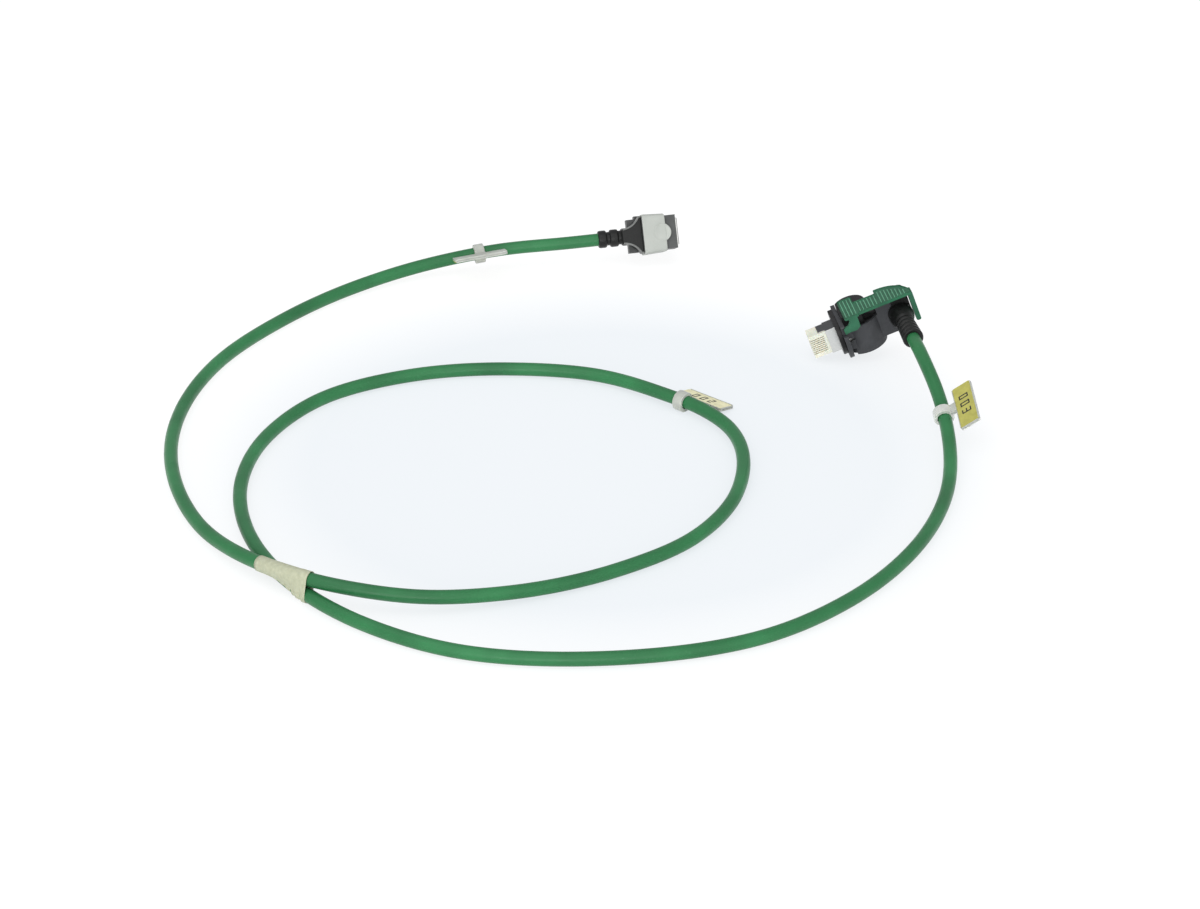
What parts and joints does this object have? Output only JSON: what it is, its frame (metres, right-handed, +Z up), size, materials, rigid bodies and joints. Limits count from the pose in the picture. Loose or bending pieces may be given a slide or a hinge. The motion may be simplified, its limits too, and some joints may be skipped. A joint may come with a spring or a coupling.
{
  "type": "ethernet patch cable",
  "caption": "Green network patch cable with an angled lockable plug behind a round flange at one end, a lockable in-line socket at the other, marker flags and a turn of tape.",
  "frame": {"origin": "on the table, under the middle of the box round the two connectors", "axes": "+Z up from the table; +X from the socket end towards the plug end; -Y towards the cable's loop"},
  "size_m": [0.3664, 0.4054, 0.0366],
  "materials": {
    "jacket": "matte",
    "tape": "matte",
    "clear_nylon": "satin",
    "label": "matte",
    "ivory_plastic": "gloss",
    "gold": "polished",
    "white_plastic": "satin",
    "nickel": "satin",
    "wire_plug": "satin",
    "black_rubber": "matte",
    "grey_plastic": "satin",
    "black_plastic": "satin",
    "green_plastic": "satin",
    "dark_plastic": "satin",
    "board": "gloss",
    "wire_socket": "satin",
    "light_plastic": "satin"
  },
  "bodies": {
    "root": {"cable_jacket": "jacket", "tape_wrap": "tape", "marker_carrier_1": "clear_nylon", "marker_carrier_2": "clear_nylon", "marker_carrier_3": "clear_nylon", "marker_label_1": "label", "marker_label_2": "label", "marker_label_3": "label", "plug_body": "ivory_plastic", "plug_contacts": "gold", "plug_load_bar": "white_plastic", "plug_shield": "nickel", "plug_wires": "wire_plug", "plug_ferrule": "nickel", "plug_cable_end": "jacket", "front_gasket": "black_rubber", "plug_housing": "grey_plastic", "inner_block": "black_plastic", "top_cover": "black_plastic", "elbow_boot": "black_rubber", "socket_shell": "dark_plastic", "socket_insert": "black_plastic", "socket_contacts": "gold", "socket_shield": "nickel", "circuit_board": "board", "terminal_block": "white_plastic", "socket_wires": "wire_socket", "socket_ferrule": "nickel", "socket_cable_end": "jacket", "socket_boot": "black_rubber"},
    "collar": {"lock_collar": "light_plastic"},
    "slider": {"lock_slider": "green_plastic"},
    "latch": {"plug_latch": "ivory_plastic"}
  },
  "joints": [
    {"name": "collar_slide", "type": "slide", "parent": "root", "child": "collar", "axis": [0.9879, 0.1476, 0.0471], "range_m": [0, 0.0025]},
    {"name": "slider_slide", "type": "slide", "parent": "root", "child": "slider", "axis": [0.9281, 0.147, 0.342], "range_m": [0, 0.004]},
    {"name": "latch_hinge", "type": "hinge", "parent": "root", "child": "latch", "pos_m": [0.02468, -0.04451, 0.00834], "axis": [0.3378, 0.0535, -0.9397], "range_deg": [0, 8], "stiffness_Nm_per_rad": 0.02}
  ]
}
